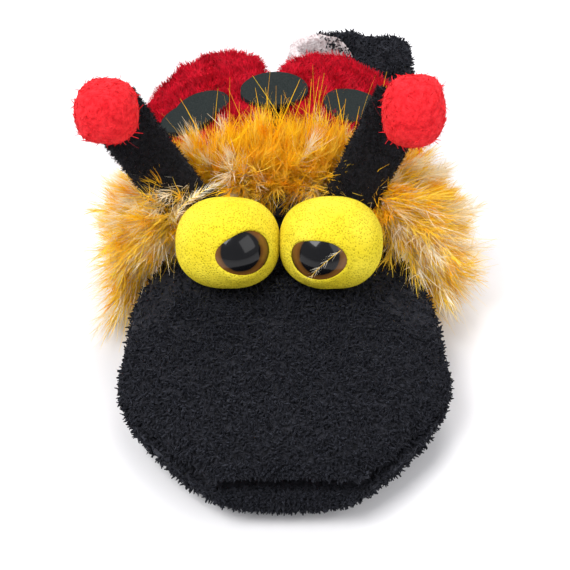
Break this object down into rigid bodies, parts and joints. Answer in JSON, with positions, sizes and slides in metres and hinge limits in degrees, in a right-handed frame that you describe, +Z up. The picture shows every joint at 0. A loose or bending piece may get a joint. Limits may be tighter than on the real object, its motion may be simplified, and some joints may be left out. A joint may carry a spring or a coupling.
{
  "type": "ladybird sock puppet",
  "caption": "Fuzzy black hand puppet shaped like a ladybird, with a wide opening mouth, round yellow eyes, pompom feelers, a feather collar and red spotted wing cases.",
  "frame": {"origin": "on the flat underside of the sock, below the front of the wing cases, midway across the neck", "axes": "+Z up; the puppet faces -Y, so +Y runs from the mouth to the cuff; +X is to the viewer's right when it faces the viewer"},
  "size_m": [0.1613, 0.331, 0.1177],
  "materials": {
    "chenille": "matte fuzzy chenille pile",
    "pale_lining": "matte brushed cotton",
    "card": "matte card",
    "red_felt": "matte felt",
    "yellow_foam": "matte open-cell foam",
    "brown_plastic": "glossy translucent brown",
    "black_plastic": "glossy black",
    "black_velvet": "matte short velvet",
    "red_pile": "fuzzy pompom pile",
    "boa_cord": "twisted thread",
    "yellow_down": "soft marabou down",
    "red_plush": "short dense plush pile",
    "black_foam": "matte craft foam"
  },
  "bodies": {
    "sock_body": {"sock_leg": "chenille", "cuff_lining": "pale_lining"},
    "head": {"sock_head": "chenille", "lower_mouth_board": "card", "lower_palate": "red_felt", "boa_string": "boa_cord", "boa_feathers": "yellow_down", "left_eye_ball": "yellow_foam", "left_iris": "brown_plastic", "left_pupil": "black_plastic", "left_eye_stem": "black_plastic", "right_eye_ball": "yellow_foam", "right_iris": "brown_plastic", "right_pupil": "black_plastic", "right_eye_stem": "black_plastic"},
    "upper_jaw": {"sock_upper_jaw": "chenille", "upper_mouth_board": "card", "upper_palate": "red_felt"},
    "left_feeler": {"left_antenna": "black_velvet", "left_pompom": "red_pile"},
    "right_feeler": {"right_antenna": "black_velvet", "right_pompom": "red_pile"},
    "wing_pair": {"left_wing": "red_plush", "right_wing": "red_plush", "centre_spot": "black_foam", "left_front_spot": "black_foam", "left_rear_spot": "black_foam", "right_spot": "black_foam"}
  },
  "joints": [
    {"name": "head_nod", "type": "hinge", "parent": "sock_body", "child": "head", "pos_m": [0, -0.004, 0.0375], "axis": [-1, 0, 0], "range_deg": [0, 28]},
    {"name": "mouth_open", "type": "hinge", "parent": "head", "child": "upper_jaw", "pos_m": [0, -0.11, 0.0185], "axis": [-1, 0, 0], "range_deg": [0, 35]},
    {"name": "left_feeler_bend", "type": "hinge", "parent": "head", "child": "left_feeler", "pos_m": [-0.0325, -0.048, 0.0424], "axis": [1, 0, 0], "range_deg": [-8, 16], "stiffness_Nm_per_rad": 0.1},
    {"name": "right_feeler_bend", "type": "hinge", "parent": "head", "child": "right_feeler", "pos_m": [0.02, -0.048, 0.0424], "axis": [1, 0, 0], "range_deg": [-8, 16], "stiffness_Nm_per_rad": 0.1},
    {"name": "wings_lift", "type": "hinge", "parent": "sock_body", "child": "wing_pair", "pos_m": [0, 0.0025, 0.044], "axis": [1, 0, 0], "range_deg": [0, 60]}
  ]
}
